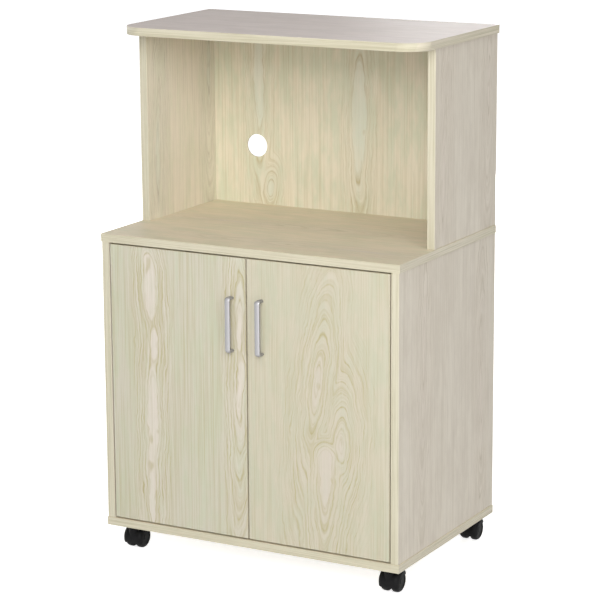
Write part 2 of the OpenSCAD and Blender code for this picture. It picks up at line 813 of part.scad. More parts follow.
// A cup: a deep round dish in the door with a flange and two screw ears on the door's back
module hinge_cup() {
    floor_v = cup_skin + hole_play;
    flange_r = cup_r + 2;
    ear_r = 5;
    difference() {
        union() {
            rod_y([cup_u, floor_v, 0], 2 * cup_r, board_t - floor_v + eps);
            translate([0, board_t, 0]) rotate([-90, 0, 0]) linear_extrude(cup_wall) {
                translate([cup_u, 0]) circle(r = flange_r);
                for (s = [-1, 1]) {
                    translate([cup_screw_u, s * cup_screw_z]) circle(r = ear_r);
                    translate([cup_screw_u - ear_r, min(0, s * cup_screw_z)])
                        square([2 * ear_r, cup_screw_z]);
                }
            }
        }
        rod_y([cup_u, floor_v + cup_wall, 0], 2 * (cup_r - cup_wall), board_t);
        rod_z([pin_u, hinge_pin_depth, -2 * cup_r], hinge_pin_d + 2 * hinge_pin_play, 4 * cup_r);
        for (s = [-1, 1])
            rod_y([cup_screw_u, board_t - 1, s * cup_screw_z], pilot_d, cup_wall + 2);
    }
}

module left_hinge_cups() {
    color(ZINC) at_left_hinges() hinge_cup();
}

module right_hinge_cups() {
    color(ZINC) at_right_hinges() hinge_cup();
}

// The pin's ends are ground flush with the round wall of the cup
module hinge_pin() {
    intersection() {
        rod_z([pin_u, hinge_pin_depth, -cup_r], hinge_pin_d, 2 * cup_r);
        rod_y([cup_u, 0, 0], 2 * cup_r, board_t);
    }
}

module left_hinge_pins() {
    color(STEEL) at_left_hinges() hinge_pin();
}

module right_hinge_pins() {
    color(STEEL) at_right_hinges() hinge_pin();
}

// ---- doors ---------------------------------------------------------------------------------

door_screw_l = board_t - 5;

// The left door; the right one is its mirror image
module door_board() {
    difference() {
        box([-side_in_x + door_side_gap, door_front_y, door_z],
            [-door_centre_gap / 2, door_rear_y, door_z + door_h]);
        at_left_hinges() {
            rod_y([cup_u, cup_skin, 0], 2 * cup_bore_r, board_t);
            for (s = [-1, 1])
                rod_y([cup_screw_u, board_t - door_screw_l, s * cup_screw_z], pilot_d, board_t);
        }
        for (s = [-1, 1])
            rod_y([-handle_x, door_front_y - 1, handle_z + s * handle_spacing / 2], handle_hole_d,
                board_t + 2);
        rod_y([-strike_x, door_rear_y - door_screw_l, strike_z], pilot_d, board_t);
        translate([-strike_x, door_rear_y + strike_t, strike_z]) rotate([-90, 0, 0]) sunk_seat();
    }
}

module left_door() {
    color(LAMINATE) door_board();
}

module right_door() {
    color(LAMINATE) mirror([1, 0, 0]) door_board();
}

// The handle's section: x is its thickness, with a crowned outer face, y its width
module handle_section() {
    crown_r = handle_w;
    intersection() {
        rounded_rect(handle_t, handle_w, handle_t / 4);
        translate([handle_t / 2 - crown_r, 0]) circle(r = crown_r, $fn = 96);
    }
}

// A bow handle: two legs, two bends and a grip. Drawn for a door face in the plane y = 0.
module bow_handle() {
    mid_r = handle_bend_r + handle_t / 2;
    leg_l = handle_out - handle_t / 2 - mid_r;
    bend_z = handle_spacing / 2 - mid_r;
    difference() {
        union() {
            translate([0, -leg_l - mid_r, -bend_z]) rotate(-90)
                linear_extrude(2 * bend_z) handle_section();
            for (s = [-1, 1]) scale([1, 1, s]) {
                translate([0, -leg_l, bend_z]) rotate([0, 0, -90]) rotate([90, 0, 0])
                    rotate_extrude(angle = 90) translate([mid_r, 0]) handle_section();
                translate([0, 0, bend_z + mid_r]) rotate([90, -90, 0])
                    linear_extrude(leg_l) handle_section();
            }
        }
        for (s = [-1, 1])
            rod_y([0, -handle_screw_grip, s * handle_spacing / 2], handle_hole_d,
                handle_screw_grip + 1);
    }
}

module left_handle() {
    color(SATIN_NICKEL) translate([-handle_x, door_front_y, handle_z]) bow_handle();
}

module right_handle() {
    color(SATIN_NICKEL) translate([handle_x, door_front_y, handle_z]) bow_handle();
}

// Pan-head screws from inside the door into the handle's legs
module handle_screws(x) {
    color(STEEL) for (s = [-1, 1])
        translate([x, door_rear_y, handle_z + s * handle_spacing / 2]) difference() {
            union() {
                rod_y([0, -board_t - handle_screw_grip + 1, 0], handle_screw_d,
                    board_t + handle_screw_grip - 1 + eps);
                rod_y([0, 0, 0], handle_head_d, handle_head_h);
            }
            for (a = [0, 90]) rotate([0, a, 0])
                box([-handle_head_d / 3, handle_head_h - 1, -0.5],
                    [handle_head_d / 3, handle_head_h + 1, 0.5]);
        }
}

module left_handle_screws() {
    handle_screws(-handle_x);
}

module right_handle_screws() {
    handle_screws(handle_x);
}

// The screws that hold the hinge cups and the strike plate of the left door
module door_screws() {
    color(STEEL) {
        at_left_hinges() for (s = [-1, 1])
            translate([cup_screw_u, board_t + cup_wall, s * cup_screw_z]) rotate([-90, 0, 0])
                wood_screw(door_screw_l);
        translate([-strike_x, door_rear_y + strike_t, strike_z]) rotate([-90, 0, 0])
            sunk_screw(door_screw_l);
    }
}

module left_door_screws() {
    door_screws();
}

module right_door_screws() {
    mirror([1, 0, 0]) door_screws();
}

module strike_plate() {
    color(ZINC) translate([-strike_x, door_rear_y, strike_z]) rotate([-90, 0, 0]) difference() {
        linear_extrude(strike_t) rounded_rect(strike_w, strike_h, 2);
        translate([0, 0, strike_t]) sunk_seat();
    }
}

module left_strike_plate() {
    strike_plate();
}

module right_strike_plate() {
    mirror([1, 0, 0]) strike_plate();
}

// ---- door catch ----------------------------------------------------------------------------

module catch_housing() {
    gap = 0.2;
    color(BROWN_PLASTIC) difference() {
        translate([0, catch_y + 0.5, catch_z + catch_h / 2]) rotate([-90, 0, 0])
            linear_extrude(catch_d - 0.5) rounded_rect(catch_w, catch_h, 1.5);
        for (s = [-1, 1]) {
            box([s * magnet_x - magnet_w / 2 - gap, catch_y, catch_z + (catch_h - magnet_h) / 2 - gap],
                [s * magnet_x + magnet_w / 2 + gap, catch_y + catch_d - 3,
                    catch_z + (catch_h + magnet_h) / 2 + gap]);
            rod_z([s * catch_screw_x, catch_screw_y, catch_z - 1], pilot_d, catch_h + 2);
            rod_z([s * catch_screw_x, catch_screw_y, catch_z - 1], wood_head_d + 2 * gap,
                catch_h - catch_lug_t + 1);
        }
    }
}

module catch_magnets() {
    color(MAGNET) for (s = [-1, 1])
        box([s * magnet_x - magnet_w / 2, catch_y, catch_z + (catch_h - magnet_h) / 2],
            [s * magnet_x + magnet_w / 2, catch_y + catch_d - 3.2, catch_z + (catch_h + magnet_h) / 2]);
}

module catch_screws() {
    color(STEEL) for (s = [-1, 1])
        translate([s * catch_screw_x, catch_screw_y, worktop_z - catch_lug_t]) rotate([180, 0, 0])
            wood_screw(wood_screw_l - 2);
}

// ---- castors -------------------------------------------------------------------------------

// Places a shape at all four swivel axes
module at_castors() {
    for (x = [-castor_x, castor_x], y = [castor_front_y, castor_rear_y])
        translate([x, y, 0]) children();
}

// Turns a profile drawn as (radius, x) round the axle
module round_axle() {
    translate([0, castor_trail, wheel_r]) rotate([0, 90, 0]) rotate_extrude() children();
}

module castor_plate() {
    rivet_r = stem_d / 2 + 3;
    difference() {
        translate([0, 0, castor_plate_z]) linear_extrude(castor_plate_t)
            rounded_rect(castor_plate_w, castor_plate_w, 5);
        for (x = [-1, 1], y = [-1, 1])
            rod_z([x * castor_screw_at, y * castor_screw_at, castor_plate_z - 1], pilot_d,
                castor_plate_t + 2);
    }
    rod_z([0, 0, castor_plate_z - washer_t], 2 * rivet_r, washer_t + eps);
    rod_z([0, 0, stem_bottom_z + 0.3], stem_d, castor_plate_z - stem_bottom_z);
    rod_z([0, 0, stem_bottom_z + 0.3], stem_collar_d, stem_collar_h);
}

module castor_plates() {
    color(BLACK_METAL) at_castors() castor_plate();
}

module castor_screws() {
    color(STEEL) at_castors() for (x = [-1, 1], y = [-1, 1])
        translate([x * castor_screw_at, y * castor_screw_at, castor_plate_z]) rotate([180, 0, 0])
            wood_screw();
}

// Outer form of the hood: a drum with round shoulders over both wheels
module hood_drum() {
    edge_r = wheel_shoulder_r + wheel_gap + hood_wall;
    round_axle() {
        translate([0, -shoulder_x]) square([hood_out_r, 2 * shoulder_x]);
        translate([0, -hood_half_w]) square([shoulder_r, 2 * hood_half_w]);
        for (s = [-1, 1]) intersection() {
            translate([shoulder_r, s * shoulder_x]) circle(r = edge_r);
            translate([0, -hood_half_w]) square([hood_out_r, 2 * hood_half_w]);
        }
    }
}

// The room that a wheel needs under the hood, open at its outer side
module wheel_well() {
    round_axle() {
        translate([0, web_t / 2]) square([hood_in_r, shoulder_x - web_t / 2]);
        translate([0, web_t / 2]) square([shoulder_r, hood_half_w]);
        intersection() {
            translate([shoulder_r, shoulder_x]) circle(r = wheel_shoulder_r + wheel_gap);
            translate([0, web_t / 2]) square([hood_in_r, hood_half_w]);
        }
    }
}

// Side outline of what is kept of the drum: its front and top, down to a slanting hem
module hood_side() {
    front = castor_trail - hood_out_r - 1;
    polygon([
        [front, hood_hem_z],
        [castor_trail - hood_out_r / 3, hood_hem_z + wheel_r * 0.4],
        [castor_trail + hood_rear_y, hood_rear_z],
        [castor_trail + hood_rear_y, castor_h],
        [front, castor_h]
    ]);
}

module castor_hood() {
    boss_r = hub_r + 2.2;
    bore_top = hood_top_z + 1;
    difference() {
        union() {
            intersection() {
                hood_drum();
                along_x(2 * hood_half_w + 2) hood_side();
            }
            rod_z([0, 0, wheel_r], 2 * turret_r, hood_top_z - wheel_r);
        }
        both_sides() wheel_well();
        rod_z([0, 0, stem_bottom_z], stem_d + 2 * castor_play, bore_top - stem_bottom_z);
        rod_z([0, 0, stem_bottom_z], stem_collar_d + 0.6, stem_collar_h + 0.6);
        axle_bore();
    }
    difference() {
        translate([0, castor_trail, wheel_r]) rotate([0, 90, 0])
            translate([0, 0, -web_t / 2]) cylinder(r = boss_r, h = web_t);
        axle_bore();
    }
}

module axle_bore() {
    rod_x([-web_t, castor_trail, wheel_r], axle_d + 2 * castor_play, 2 * web_t);
}

module castor_axle() {
    rod_x([-axle_half_l, castor_trail, wheel_r], axle_d, 2 * axle_half_l);
}

// A wheel: a tread with a round outer shoulder, a dished outer face and a hub, hollow inside
module castor_wheel() {
    rim_t = wheel_inner_r + 1;
    disc_x = wheel_out_x - 4;
    dish_r = wheel_r * 0.62;
    round_axle() difference() {
        union() {
            translate([0, wheel_in_x]) square([wheel_r - wheel_inner_r, wheel_w / 2]);
            translate([0, wheel_in_x + wheel_inner_r])
                square([wheel_r, shoulder_x - wheel_in_x - wheel_inner_r]);
            translate([wheel_r - wheel_inner_r, wheel_in_x + wheel_inner_r])
                circle(r = wheel_inner_r);
            translate([0, wheel_in_x]) square([shoulder_r, wheel_w]);
            intersection() {
                translate([shoulder_r, shoulder_x]) circle(r = wheel_shoulder_r);
                translate([0, wheel_in_x]) square([wheel_r, wheel_w]);
            }
        }
        translate([hub_r, wheel_in_x - 1])
            square([wheel_r - rim_t - hub_r, disc_x - wheel_in_x + 1]);
        translate([0, wheel_in_x - 1])
            square([axle_d / 2 + castor_play, axle_half_l + 0.3 - wheel_in_x + 1]);
        translate([hub_r, wheel_out_x - 0.8]) square([dish_r - hub_r, 1.8]);
    }
}

// side is -1 for a castor on the left, 1 on the right; outer wheels face away from the middle
module hood_at(side, y) {
    color(BLACK_PLASTIC) translate([side * castor_x, y, 0]) castor_hood();
}

module axle_at(side, y) {
    color(STEEL) translate([side * castor_x, y, 0]) castor_axle();
}

module wheel_at(side, y, facing) {
    color(BLACK_PLASTIC) translate([side * castor_x, y, 0]) scale([facing, 1, 1]) castor_wheel();
}

module front_left_castor_hood() { hood_at(-1, castor_front_y); }
module front_left_castor_axle() { axle_at(-1, castor_front_y); }
module front_left_outer_wheel() { wheel_at(-1, castor_front_y, -1); }
module front_left_inner_wheel() { wheel_at(-1, castor_front_y, 1); }
module front_right_castor_hood() { hood_at(1, castor_front_y); }
module front_right_castor_axle() { axle_at(1, castor_front_y); }
module front_right_outer_wheel() { wheel_at(1, castor_front_y, 1); }
module front_right_inner_wheel() { wheel_at(1, castor_front_y, -1); }
module rear_left_castor_hood() { hood_at(-1, castor_rear_y); }
module rear_left_castor_axle() { axle_at(-1, castor_rear_y); }
module rear_left_outer_wheel() { wheel_at(-1, castor_rear_y, -1); }
module rear_left_inner_wheel() { wheel_at(-1, castor_rear_y, 1); }
module rear_right_castor_hood() { hood_at(1, castor_rear_y); }
module rear_right_castor_axle() { axle_at(1, castor_rear_y); }
module rear_right_outer_wheel() { wheel_at(1, castor_rear_y, 1); }
module rear_right_inner_wheel() { wheel_at(1, castor_rear_y, -1); }

// ---- the cart ------------------------------------------------------------------------------

top_panel();
upper_left_side();
upper_right_side();
upper_back_panel();
worktop();
lower_left_side();
lower_right_side();
lower_back_panel();
bottom_panel();
shelf();
shelf_pins();
cam_bolts();
through_bolts();
cam_nuts();
cam_covers();
dowels();
bottom_screws();
hinge_arms();
hinge_arm_screws();
hinge_plates();
hinge_plate_screws();
catch_housing();
catch_magnets();
catch_screws();
castor_plates();
castor_screws();
left_door();
left_handle();
left_handle_screws();
left_hinge_cups();
left_hinge_pins();
left_door_screws();
left_strike_plate();
right_door();
right_handle();
right_handle_screws();
right_hinge_cups();
right_hinge_pins();
right_door_screws();
right_strike_plate();
front_left_castor_hood();
front_left_castor_axle();
front_left_outer_wheel();
front_left_inner_wheel();
front_right_castor_hood();
front_right_castor_axle();
front_right_outer_wheel();
front_right_inner_wheel();
rear_left_castor_hood();
rear_left_castor_axle();
rear_left_outer_wheel();
rear_left_inner_wheel();
rear_right_castor_hood();
rear_right_castor_axle();
rear_right_outer_wheel();
rear_right_inner_wheel();
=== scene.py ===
import math

import bpy
from mathutils import Matrix, Vector


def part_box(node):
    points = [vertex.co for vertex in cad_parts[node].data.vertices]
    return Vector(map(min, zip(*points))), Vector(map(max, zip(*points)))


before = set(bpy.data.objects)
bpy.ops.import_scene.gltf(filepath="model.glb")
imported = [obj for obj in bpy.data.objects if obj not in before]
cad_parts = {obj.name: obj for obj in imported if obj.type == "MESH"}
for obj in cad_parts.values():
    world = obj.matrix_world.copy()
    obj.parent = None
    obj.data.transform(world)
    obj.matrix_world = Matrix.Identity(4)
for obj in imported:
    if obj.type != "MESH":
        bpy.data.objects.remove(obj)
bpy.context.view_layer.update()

X, Y, Z = 0, 1, 2


# ---- how a finish is written ---------------------------------------------------------------

def paint(code):
    """The linear colour of a paint that is written as six hexadecimal digits."""
    parts = [int(code[i:i + 2], 16) / 255 for i in (0, 2, 4)]
    linear = [p / 12.92 if p <= 0.04045 else ((p + 0.055) / 1.055) ** 2.4 for p in parts]
    return (*linear, 1.0)


class Value:
    """A socket in a finish. Python's operators on it add Math nodes."""

    def __init__(self, finish, socket):
        self.finish, self.socket = finish, socket

    def maths(self, operation, *values):
        sockets = dict(enumerate(values))
        return self.finish.node("ShaderNodeMath", {"operation": operation}, sockets)

    def __add__(self, other):
        return self.maths("ADD", self, other)

    def __radd__(self, other):
        return self.maths("ADD", other, self)

    def __sub__(self, other):
        return self.maths("SUBTRACT", self, other)

    def __rsub__(self, other):
        return self.maths("SUBTRACT", other, self)

    def __mul__(self, other):
        return self.maths("MULTIPLY", self, other)

    def __truediv__(self, other):
        return self.maths("DIVIDE", self, other)

    def __pow__(self, other):
        return self.maths("POWER", self, other)

    def __gt__(self, other):
        return self.maths("GREATER_THAN", self, other)

    def __abs__(self):
        return self.maths("ABSOLUTE", self)

    def root(self):
        return self.maths("SQRT", self)

    def fraction(self):
        return self.maths("FRACT", self)

    def smooth_least(self, other, blend):
        return self.maths("SMOOTH_MIN", self, other, blend)

    def clamped(self):
        return self.finish.node("ShaderNodeClamp", sockets={0: self})

    def ramp(self, low, high):
        """0 below low, 1 above high and a smooth rise between them."""
        settings = {"interpolation_type": "SMOOTHSTEP"}
        sockets = {"Value": self, "From Min": low, "From Max": high}
        return self.finish.node("ShaderNodeMapRange", settings, sockets)


class Finish:
    """A material with one Principled shader."""

    def __init__(self, name, **shader):
        self.material = bpy.data.materials.new(name)
        self.material.use_nodes = True
        self.tree = self.material.node_tree
        self.tree.nodes.clear()
        output = self.tree.nodes.new("ShaderNodeOutputMaterial")
        self.shader = self.tree.nodes.new("ShaderNodeBsdfPrincipled")
        self.tree.links.new(self.shader.outputs[0], output.inputs[0])
        self.set(shader)

    def set(self, values):
        """Feeds sockets of the shader by their names, where _ may stand for a space."""
        for key, value in values.items():
            self.feed(self.shader.inputs[key.replace("_", " ")], value)

    def feed(self, socket, value):
        if isinstance(value, Value):
            self.tree.links.new(value.socket, socket)
        else:
            socket.default_value = value

    def node(self, kind, settings=None, sockets=None, out=0):
        node = self.tree.nodes.new(kind)
        for key, value in (settings or {}).items():
            setattr(node, key, value)
        for key, value in (sockets or {}).items():
            self.feed(node.inputs[key], value)
        return Value(self, node.outputs[out])

    def mix(self, factor, a, b, blend="MIX"):
        settings = {"data_type": "RGBA", "blend_type": blend}
        return self.node("ShaderNodeMix", settings, {0: factor, 6: a, 7: b}, out=2)

    def at_rest(self, out="Object"):
        """The place on the piece, or with out="Normal" the way that its surface faces."""
        place = self.node("ShaderNodeTexCoord", out=out)
        split = self.node("ShaderNodeSeparateXYZ", sockets={0: place}).socket.node
        return [Value(self, socket) for socket in split.outputs]

    def place(self, x, y, z):
        return self.node("ShaderNodeCombineXYZ", sockets={0: x, 1: y, 2: z})

    def grey(self, value):
        return self.place(value, value, value)

    def noise(self, place, detail=2.0, roughness=0.5):
        sockets = {"Vector": place, "Scale": 1.0, "Detail": detail, "Roughness": roughness}
        return self.node("ShaderNodeTexNoise", sockets=sockets)

    def grit(self, here, rates, detail=2.0, roughness=0.5):
        """Noise that changes at a rate of its own along each axis, in times per metre."""
        scaled = [axis * rate for axis, rate in zip(here, rates)]
        return self.noise(self.place(*scaled), detail, roughness)

    def bump(self, height, strength, distance):
        sockets = {"Height": height, "Strength": strength, "Distance": distance}
        return self.node("ShaderNodeBump", sockets=sockets)


# ---- the laminate --------------------------------------------------------------------------

CREAM = paint("C3BEAE")
PALE_GREEN = paint("BDBEA8")
PALE_ROSE = paint("D3C8BB")
# Paler and more neutral than the doors' cream: painted light from the right, where it falls on
# the sides.
SIDE_CREAM = paint("D4CCBD")
SIDE_SHADE = paint("CBC2B3")
# Paler and a pinker grey than the doors' cream: painted light from above, where it falls on
# the top.
TOP_GREY = paint("D6CAC4")
TOP_SHADE = paint("CEC2BC")
# Paler than the doors' cream: painted light that lifts the back of the bay out of its shade.
BAY_CREAM = paint("DFD6C0")
BAY_GREEN = paint("D0D0B7")
GRAIN_OLIVE = paint("ACA27C")
GRAIN_BROWN = paint("B5AA96")
EDGE_CREAM = paint("CDC7B2")
EDGE_STREAK = paint("B4AD91")
# Paler and more neutral for edges that face sideways along X: painted light from the side.
SIDE_LIT_EDGE_CREAM = paint("D6CEBC")

# The tones of a board: its ground, the patches on it, the hearts and the lines of the grain
LEFT_DOOR_TONES = (CREAM, PALE_GREEN, paint("D8CEC5"), GRAIN_OLIVE)
RIGHT_DOOR_TONES = (paint("C4BDAA"), paint("BCBBA5"), paint("C9BFB5"), GRAIN_OLIVE)
# The sides' tones: paler and more neutral than the doors', with painted light from the side.
SIDE_TONES_WITH_PAINTED_LIGHT = (SIDE_CREAM, SIDE_SHADE, PALE_ROSE, GRAIN_BROWN)
# A paler copy of the sides' tones for the inner side of the bay: painted light against the
# bay's shade.
INNER_SIDE_TONES_WITH_PAINTED_LIGHT = (paint("E3D9C6"), paint("DAD5BE"), paint("CFD3C3"), GRAIN_BROWN)
# Paler than the doors' tones: painted light that lifts the worktop inside the shaded bay; the
# bottom and the shelf share it.
SHELF_TONES_WITH_PAINTED_LIGHT = (paint("E1D4BC"), paint("D6CFB5"), PALE_ROSE, GRAIN_OLIVE)
# The top's tones: paler and greyer than the doors', with painted light from above.
TOP_TONES_WITH_PAINTED_LIGHT = (TOP_GREY, TOP_SHADE, TOP_GREY, GRAIN_BROWN)
# The bay's tones: paler than the doors', with painted light against the bay's shade.
BAY_TONES_WITH_PAINTED_LIGHT = (BAY_CREAM, BAY_GREEN, paint("D4D6C6"), paint("BAAD86"))

# The axes of a board: the one it is thin along, the one across its grain, the one along it
UPRIGHT_FACING_FRONT = (Y, X, Z)
UPRIGHT_FACING_SIDE = (X, Y, Z)
LYING_FLAT = (Z, Y, X)

# The layers of the pattern. Each has how often it changes across the grain and along it, per
# metre, a number that sets it apart from the others, its detail and its roughness. Where only
# its peaks count, the values between which they rise come last.
LAYERS = {
    "wander": (7, 5, 0.0, 1.0, 0.5, None),
    "quiver": (30, 15, 2.0, 3.0, 0.6, None),
    "unevenness": (60, 1.5, 17.0, 1.0, 0.5, None),
    "fibre": (700, 7, 0.0, 2.0, 0.6, None),
    "straight_streak": (430, 4, 3.0, 2.0, 0.7, (0.42, 0.68)),
    "bent_streak": (430, 9, 4.0, 2.0, 0.7, (0.42, 0.68)),
    "pore": (1300, 42, 7.0, 0.0, 0.5, (0.66, 0.76)),
    "patch": (38, 11, 11.0, 3.0, 0.7, (0.35, 0.68)),
    "broken": (260, 22, 13.0, 2.0, 0.7, (0.35, 0.62)),
    "spot": (60, 26, 19.0, 1.0, 0.5, (0.62, 0.74)),
    "band": (700, 5, 5.0, 3.0, 0.65, (0.38, 0.68)),
}

# Lengths in the pattern, in metres
RING_SPACING = 0.0056
HEARTS_BLEND = 0.010  # how smoothly the rings of one heart pass into those of the next
WANDER_WIDTH, QUIVER_WIDTH = 0.012, 0.018  # how far the rings stray across the board
RINGS_BEGIN = (-0.001, 0.002)  # from the edge of a heart's plain middle outwards
HEART_TONE_ENDS = (-0.002, 0.007)
PRINT_RELIEF = 0.0001

# Shares and powers in the pattern
RING_UNEVENNESS = 1.3
FADE_BEGINS = 0.3  # the share of reach at which the rings begin to fade
LINE_SHARPNESS, RELIEF_SHARPNESS = 5.0, 4.0
FACING_OUT, FACING_SIDEWAYS = 0.5, 0.7  # how far a surface must face the board's face, or face sideways along X


def laminate(name, axes, hearts, seed, tones=LEFT_DOOR_TONES, reach=0.05, contrast=1.0,
             gloss=0.5):
    """Printed wood grain on a board.

    A heart is the middle of a figure of the grain: where it lies across and along the board,
    how slender the rings are beyond it and before it, how much they lean, and half the width
    of its plain middle. The rings fade out at reach.
    """
    finish = Finish(name, IOR=1.46, Specular_IOR_Level=gloss)
    thickness, across, along = axes
    here = finish.at_rest()
    faces = finish.at_rest("Normal")
    on_face = abs(faces[thickness]) > FACING_OUT
    edge_faces_sideways = abs(faces[X]) > FACING_SIDEWAYS
    u, w = here[across], here[along]
    ground, patch_tone, heart_tone, line_tone = tones

    def layer(which, sideways=u, lengthways=w):
        rate_across, rate_along, apart, detail, roughness, peaks = LAYERS[which]
        place = finish.place(sideways * rate_across, lengthways * rate_along, seed + apart)
        pattern = finish.noise(place, detail, roughness)
        return pattern.ramp(*peaks) if peaks else pattern

    # The rings of the wood, which wander a little as they run along the board
    wander, quiver = layer("wander") - 0.5, layer("quiver") - 0.5
    rings = None
    for heart_u, heart_w, beyond, before, lean, plain in hearts:
        off = w - heart_w
        aside = u + wander * WANDER_WIDTH + quiver * QUIVER_WIDTH - heart_u - off * lean
        up = off * ((beyond + before) / 2) + abs(off) * ((beyond - before) / 2)
        radius = (aside * aside + up * up).root() - plain
        rings = radius if rings is None else rings.smooth_least(radius, HEARTS_BLEND)
    uneven = layer("unevenness", rings) * RING_UNEVENNESS
    phase = abs((rings / RING_SPACING + uneven).fraction() * 2 - 1)
    near = (1 - rings.ramp(reach * FADE_BEGINS, reach)) * rings.ramp(*RINGS_BEGIN)
    inner = 1 - rings.ramp(*HEART_TONE_ENDS)

    # Fibres and pores along the grain, and what breaks up the rings
    fibre, pore, broken = layer("fibre"), layer("pore"), layer("broken")

    # The ground with its patches and hearts, and the lines of the grain on it
    base = finish.mix(layer("patch"), ground, patch_tone)
    heart_share = (inner * 0.7 + near * 0.25) * (0.7 + broken * 0.3)
    base = finish.mix(heart_share, base, heart_tone)
    ring_lines = phase ** LINE_SHARPNESS * near * (0.3 + broken * 0.45)
    bent_lines = layer("bent_streak", rings) * near * 0.5
    straight_lines = layer("straight_streak") * (1 - near * 0.75) * (1 - inner * 0.6) * 0.45
    spots = inner * layer("spot") * 0.45
    lines = ring_lines + bent_lines + straight_lines + spots
    colour = finish.mix((lines * contrast).clamped(), base, line_tone)
    shade = 0.965 + fibre * 0.08 - pore * 0.04
    colour = finish.mix(1.0, colour, finish.grey(shade), "MULTIPLY")

    # The edge bands: paler, with streaks along the edge. Edges that face sideways along X are
    # paler and more neutral still: painted light from the side.
    band = layer("band", here[thickness], u + w)
    edge = finish.mix(edge_faces_sideways, EDGE_CREAM, SIDE_LIT_EDGE_CREAM)
    edge = finish.mix(band * 0.85, edge, EDGE_STREAK)

    relief = fibre * 0.5 - pore - phase ** RELIEF_SHARPNESS * near * 0.3
    finish.set({
        "Base Color": finish.mix(on_face, edge, colour),
        "Roughness": 0.42 + fibre * 0.10,
        "Normal": finish.bump(relief, strength=0.2, distance=PRINT_RELIEF),
    })
    return finish


# ---- metals, plastics and turned wood ------------------------------------------------------

def brushed_metal(name, colour, roughness):
    """Metal with fine brush marks along Z."""
    finish = Finish(name, Metallic=1.0, Base_Color=colour)
    here = finish.at_rest()
    marks = finish.grit(here, (2600, 2600, 60))
    cloud = finish.grit(here, (90, 90, 90))
    finish.set({
        "Roughness": roughness - 0.06 + marks * 0.08 + cloud * 0.06,
        "Normal": finish.bump(marks, strength=0.15, distance=0.00004),
    })
    return finish


def plated_steel(name, light, dark, roughness=0.32):
    """Zinc-plated fittings: a cloudy shine with a slight change of tone."""
    finish = Finish(name, Metallic=1.0)
    here = finish.at_rest()
    cloud = finish.grit(here, (140, 140, 140), detail=3.0)
    fine = finish.grit(here, (2400, 2400, 2400), detail=1.0)
    finish.set({
        "Base Color": finish.mix(cloud.ramp(0.35, 0.7), light, dark),
        "Roughness": roughness - 0.05 + cloud * 0.12,
        "Normal": finish.bump(fine, strength=0.12, distance=0.00003),
    })
    return finish


def moulded_plastic(name, colour, worn, roughness=0.4, grain=1900, strength=0.22, gloss=0.5):
    """Moulded plastic with a fine spark-eroded grain and a slightly dustier tone in places."""
    finish = Finish(name, IOR=1.5, Specular_IOR_Level=gloss)
    here = finish.at_rest()
    fine = finish.grit(here, (grain, grain, grain))
    dust = finish.grit(here, (55, 55, 55), detail=3.0, roughness=0.6)
    finish.set({
        "Base Color": finish.mix(dust.ramp(0.45, 0.75) * 0.6, colour, worn),
        "Roughness": roughness + dust * 0.12,
        "Normal": finish.bump(fine, strength, distance=0.00005),
    })
    return finish


def turned_wood(name, light, dark):
    """Beech dowels with short dark flecks along Z."""
    finish = Finish(name, IOR=1.45)
    fleck = finish.grit(finish.at_rest(), (900, 900, 90))
    finish.set({
        "Base Color": finish.mix(fleck.ramp(0.45, 0.7), light, dark),
        "Roughness": 0.6 + fleck * 0.1,
        "Normal": finish.bump(fleck, strength=0.2, distance=0.00008),
    })
    return finish


# ---- dressing the cart ---------------------------------------------------------------------

ARRIS_WIDTH, ARRIS_SEGMENTS, ARRIS_ANGLE = 0.0005, 2, math.radians(50)
SAME_CORNER, SAME_FACE = 0.00001, math.radians(1)


def dress(finish, *nodes):
    for name in nodes:
        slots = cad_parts[name].data.materials
        slots.clear()
        slots.append(finish.material)


def ending(tail):
    return [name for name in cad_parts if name.endswith(tail)]


def soften(*nodes):
    """Breaks the sharp arrises of the carried-over solids by a hair, as on the real pieces."""
    for name in nodes:
        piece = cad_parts[name]
        weld = piece.modifiers.new("joined_corners", "WELD")
        weld.merge_threshold = SAME_CORNER
        flat = piece.modifiers.new("whole_faces", "DECIMATE")
        flat.decimate_type = "DISSOLVE"
        flat.angle_limit = SAME_FACE
        bevel = piece.modifiers.new("broken_arris", "BEVEL")
        bevel.width = ARRIS_WIDTH
        bevel.segments = ARRIS_SEGMENTS
        bevel.limit_method = "ANGLE"
        bevel.angle_limit = ARRIS_ANGLE
        bevel.use_clamp_overlap = False
        bevel.loop_slide = False
        bevel.harden_normals = True


dress(laminate("left_door_laminate", UPRIGHT_FACING_FRONT, [
    (-0.200, 0.528, 0.30, 0.16, -0.05, 0.011),
    (-0.193, 0.412, 0.40, 0.22, 0.0, 0.007),
    (-0.197, 0.285, 0.13, 0.08, 0.0, 0.008),
    (-0.201, 0.130, 0.07, 0.10, 0.02, 0.005),
    (-0.014, 0.440, 0.10, 0.18, 0.0, 0.004),
    (-0.011, 0.372, 0.24, 0.09, 0.04, 0.005),
], seed=1.3, reach=0.046, contrast=1.25), "left_door")
dress(laminate("right_door_laminate", UPRIGHT_FACING_FRONT, [
    (0.142, 0.380, 0.20, 0.16, 0.125, 0.004),
    (0.187, 0.265, 0.28, 0.30, 0.02, 0.003),
    (0.158, 0.240, 0.80, 0.14, 0.04, 0.012),
], seed=4.1, tones=RIGHT_DOOR_TONES, reach=0.085), "right_door")
dress(laminate("upper_back_laminate", UPRIGHT_FACING_FRONT, [
    (0.026, 0.778, 0.12, 0.11, 0.0, 0.011),
    (-0.186, 0.850, 0.10, 0.10, 0.0, 0.008),
    (-0.164, 0.632, 0.45, 0.40, 0.10, 0.005),
], seed=9.7, tones=BAY_TONES_WITH_PAINTED_LIGHT, reach=0.038, contrast=0.85), "upper_back_panel")
dress(laminate("lower_back_laminate", UPRIGHT_FACING_FRONT, [
    (-0.100, 0.300, 0.10, 0.10, 0.0, 0.004),
], seed=12.9), "lower_back_panel")
